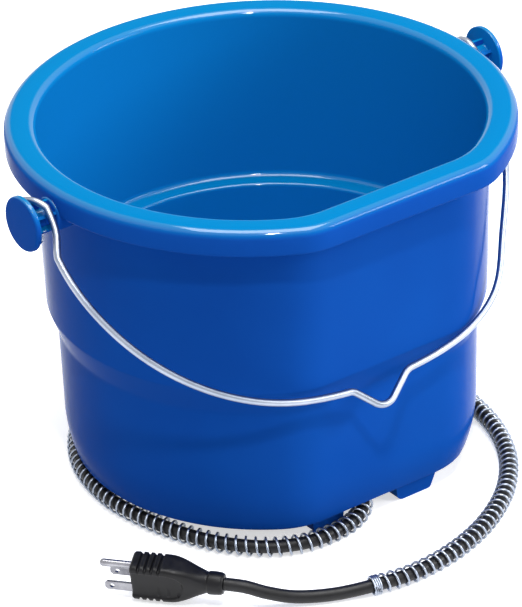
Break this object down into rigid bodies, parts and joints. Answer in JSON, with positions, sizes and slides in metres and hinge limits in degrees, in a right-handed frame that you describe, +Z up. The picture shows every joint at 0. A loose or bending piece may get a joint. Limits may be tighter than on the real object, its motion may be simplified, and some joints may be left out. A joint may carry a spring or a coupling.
{
  "type": "heated bucket",
  "caption": "Blue flat-back heated bucket with a swinging wire bail and a spring-armoured mains cord lying round it, with a moulded three-contact plug",
  "frame": {"origin": "Middle of the bucket's box on the floor, without the cord and what is on it", "axes": "+Z up; +X through the right ear along the bail's axis; -Y out of the flat side"},
  "size_m": [0.3646, 0.3479, 0.239],
  "materials": {
    "blue_plastic": "gloss",
    "zinc_wire": "satin",
    "screw_steel": "satin",
    "foil_aluminium": "satin",
    "heater_rubber": "matte",
    "black_plastic": "satin",
    "pad_fabric": "matte",
    "black_rubber": "satin",
    "lead_white": "satin",
    "lead_green": "satin",
    "cap_plastic": "satin",
    "plug_plastic": "satin",
    "blade_nickel": "polished"
  },
  "bodies": {
    "bucket": {"bucket_shell": "blue_plastic", "left_ear": "blue_plastic", "right_ear": "blue_plastic", "base_plate": "blue_plastic", "base_screws": "screw_steel", "heater_plate": "foil_aluminium", "heating_cable": "heater_rubber", "thermostat": "black_plastic", "thermostat_strap": "screw_steel", "insulation_pad": "pad_fabric", "line_lead": "black_rubber", "neutral_lead": "lead_white", "earth_lead": "lead_green", "heater_lead": "black_rubber", "crimp_caps": "cap_plastic", "cord_gland": "black_rubber", "cord": "black_rubber", "armour_spring": "zinc_wire", "spring_collar": "zinc_wire", "plug_body": "plug_plastic", "line_blade": "blade_nickel", "neutral_blade": "blade_nickel", "earth_pin": "blade_nickel"},
    "bail": {"bail": "zinc_wire"}
  },
  "joints": [
    {"name": "bail_swing", "type": "hinge", "parent": "bucket", "child": "bail", "pos_m": [0, -0.00675, 0.221], "axis": [-1, 0, 0], "range_deg": [0, 254]}
  ]
}
